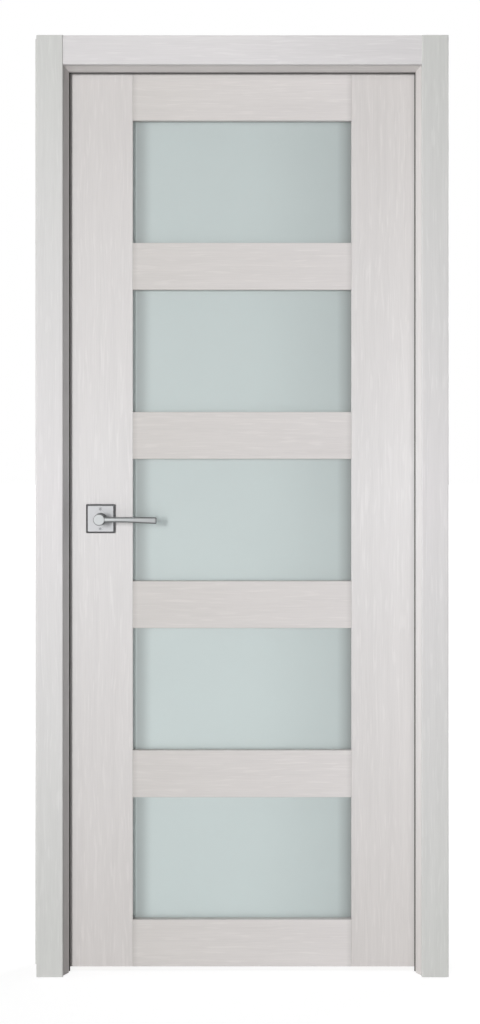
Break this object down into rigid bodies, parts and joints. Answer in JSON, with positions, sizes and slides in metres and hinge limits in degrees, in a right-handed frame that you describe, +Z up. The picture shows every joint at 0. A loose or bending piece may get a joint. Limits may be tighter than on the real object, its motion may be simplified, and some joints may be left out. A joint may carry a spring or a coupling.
{
  "type": "glazed interior door",
  "caption": "Hinged interior door set: framed leaf with a column of matt glass panes, lever handle on a square rosette, rebated frame, seals and flat casings on both faces",
  "frame": {"origin": "on the wall face of the hinge jamb, at floor level, midway through the jamb's depth", "axes": "+Z up; -Y is the front, the side the picture shows; +X points out of the hinge jamb's wall face"},
  "size_m": [0.951, 0.152, 2.1295],
  "materials": {
    "laminate_upright": "satin",
    "laminate_across": "satin",
    "matt_glass": "matte",
    "seal_rubber": "matte",
    "lever_metal": "satin",
    "hardware_steel": "satin"
  },
  "bodies": {
    "frame": {"casing_back_head": "laminate_across", "casing_back_hinge_side": "laminate_upright", "casing_back_lock_side": "laminate_upright", "casing_front_head": "laminate_across", "casing_front_hinge_side": "laminate_upright", "casing_front_lock_side": "laminate_upright", "hinge_1_frame_half": "hardware_steel", "hinge_1_pin": "hardware_steel", "hinge_2_frame_half": "hardware_steel", "hinge_2_pin": "hardware_steel", "hinge_3_frame_half": "hardware_steel", "hinge_3_pin": "hardware_steel", "jamb_head": "laminate_across", "jamb_hinge_side": "laminate_upright", "jamb_lock_side": "laminate_upright", "seal_head": "seal_rubber", "seal_hinge_side": "seal_rubber", "seal_lock_side": "seal_rubber", "strike_plate": "hardware_steel"},
    "leaf": {"hinge_1_leaf_half": "hardware_steel", "hinge_2_leaf_half": "hardware_steel", "hinge_3_leaf_half": "hardware_steel", "latch_bolt": "hardware_steel", "latch_faceplate": "hardware_steel", "pane_1": "matt_glass", "pane_2": "matt_glass", "pane_3": "matt_glass", "pane_4": "matt_glass", "pane_5": "matt_glass", "rail_1": "laminate_across", "rail_2": "laminate_across", "rail_3": "laminate_across", "rail_4": "laminate_across", "rail_5": "laminate_across", "rail_6": "laminate_across", "rosette_back": "lever_metal", "rosette_front": "lever_metal", "stile_hinge_side": "laminate_upright", "stile_lock_side": "laminate_upright"},
    "lever": {"lever_front": "lever_metal", "lever_back": "lever_metal", "spindle": "hardware_steel"}
  },
  "joints": [
    {"name": "door_swing", "type": "hinge", "parent": "frame", "child": "leaf", "pos_m": [-0.02475, 0.0445, 0], "axis": [0, 0, -1], "range_deg": [0, 160]},
    {"name": "lever_turn", "type": "hinge", "parent": "leaf", "child": "lever", "pos_m": [-0.7495, 0.0175, 1.028], "axis": [0, 1, 0], "range_deg": [0, 45], "stiffness_Nm_per_rad": 1.5, "springref_deg": -17.19}
  ]
}
